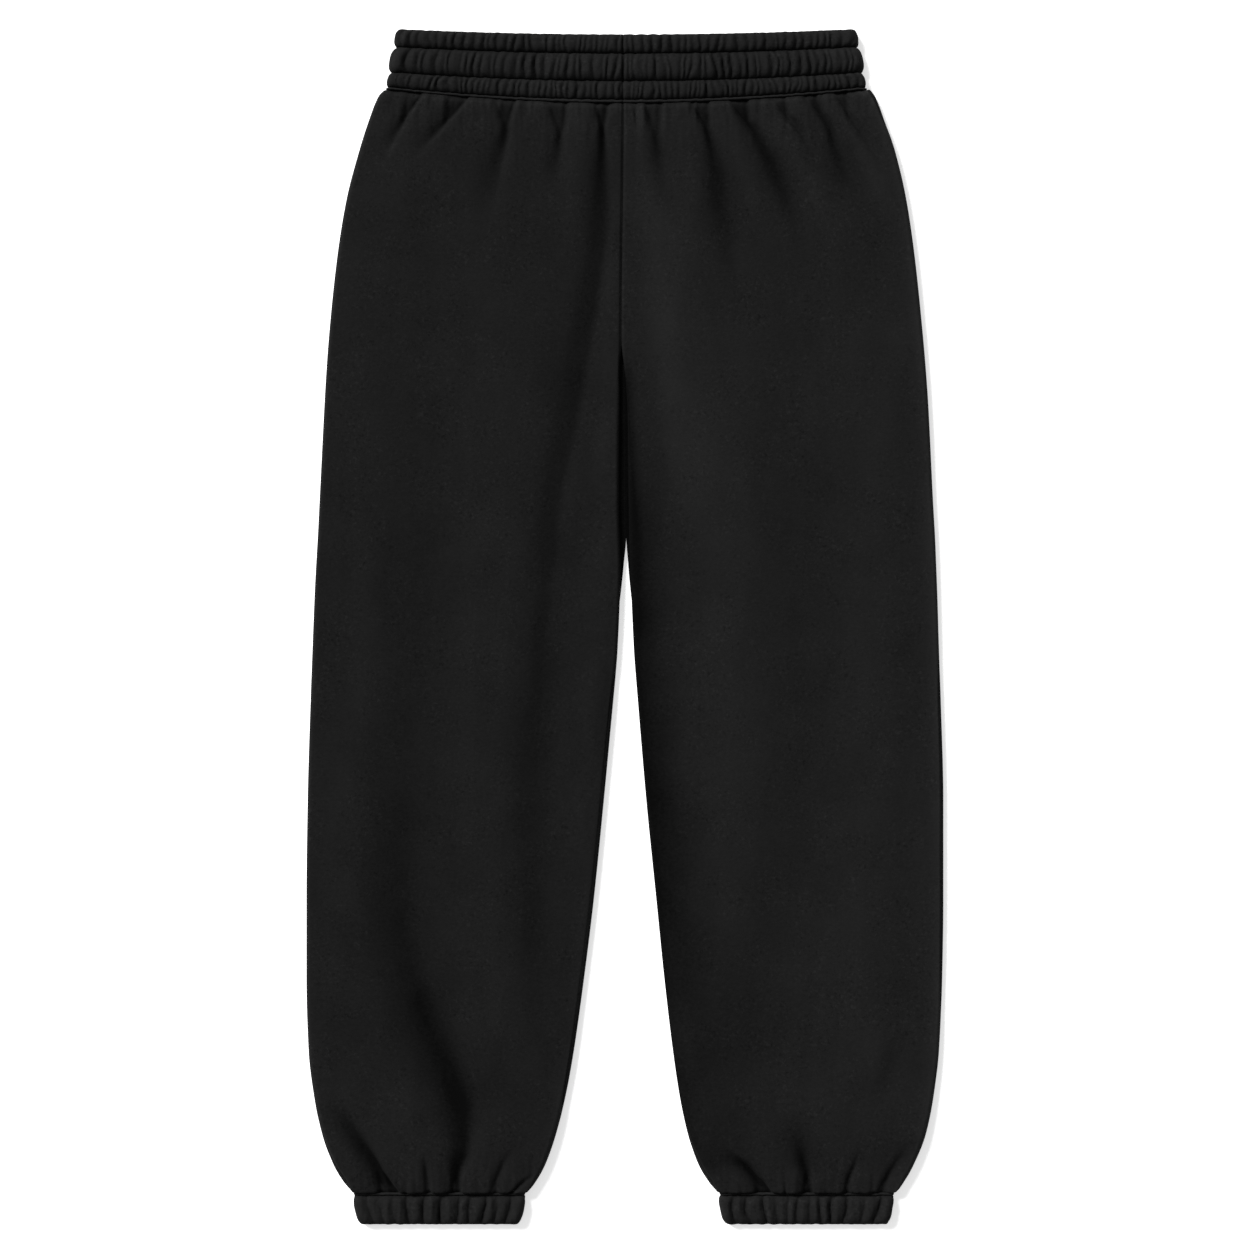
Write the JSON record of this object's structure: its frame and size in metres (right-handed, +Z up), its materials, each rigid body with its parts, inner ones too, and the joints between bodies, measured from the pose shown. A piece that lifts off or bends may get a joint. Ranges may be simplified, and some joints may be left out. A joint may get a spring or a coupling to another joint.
{
  "type": "jogger sweatpants",
  "caption": "Relaxed jogger sweatpants of washed black fleece, laid flat, with a shirred elastic waistband and elastic ankle cuffs.",
  "frame": {"origin": "on the surface that the garment lies on, under the middle of its bounding box", "axes": "+X towards the wearer's left, +Y along the garment towards the waist, +Z up out of the garment's front"},
  "size_m": [0.5319, 1, 0.0129],
  "materials": {
    "panel_fleece": "washed near-black cotton fleece, matt, with a slightly mottled flecked knit face",
    "band_fleece": "the same washed near-black fleece, gathered over elastic"
  },
  "bodies": {
    "root": {"waistband": "band_fleece", "front_right": "panel_fleece", "front_left": "panel_fleece", "back_right": "panel_fleece", "back_left": "panel_fleece", "cuff_right": "band_fleece", "cuff_left": "band_fleece"}
  },
  "joints": []
}
